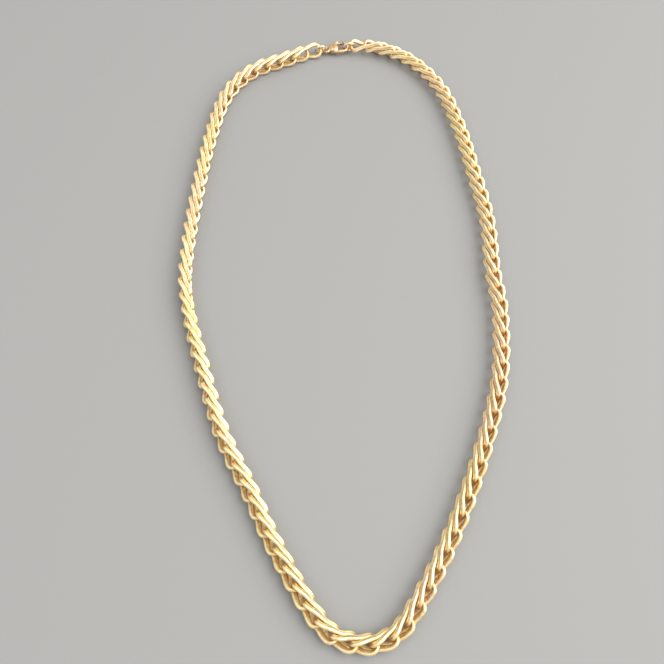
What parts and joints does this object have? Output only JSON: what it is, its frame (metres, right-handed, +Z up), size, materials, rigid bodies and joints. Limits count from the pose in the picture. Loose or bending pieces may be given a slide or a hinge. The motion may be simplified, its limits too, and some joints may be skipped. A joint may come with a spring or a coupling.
{
  "type": "rope chain",
  "caption": "Long neck chain of open twisted oval rings, each passing through its neighbours, closed by a small sprung hook clasp and lying in a teardrop loop.",
  "frame": {"origin": "middle of the loop's outline, on the surface it lies on", "axes": "+Z up, +Y along the loop towards the clasp, +X across the loop to the right"},
  "size_m": [0.1252, 0.255, 0.0068],
  "materials": {
    "gold": "polished",
    "dull_gold": "satin"
  },
  "bodies": {
    "necklace": {"chain_right": "gold", "chain_left": "gold", "clasp_body": "dull_gold", "clasp_ring": "gold", "tongue_ring": "gold"},
    "lever": {"clasp_lever": "dull_gold"}
  },
  "joints": [
    {"name": "lever_hinge", "type": "hinge", "parent": "necklace", "child": "lever", "pos_m": [-0.00301, 0.12411, 0.0022], "axis": [0, 0, 1], "range_deg": [-22, 0], "stiffness_Nm_per_rad": 0.01, "springref_deg": 2.86}
  ]
}
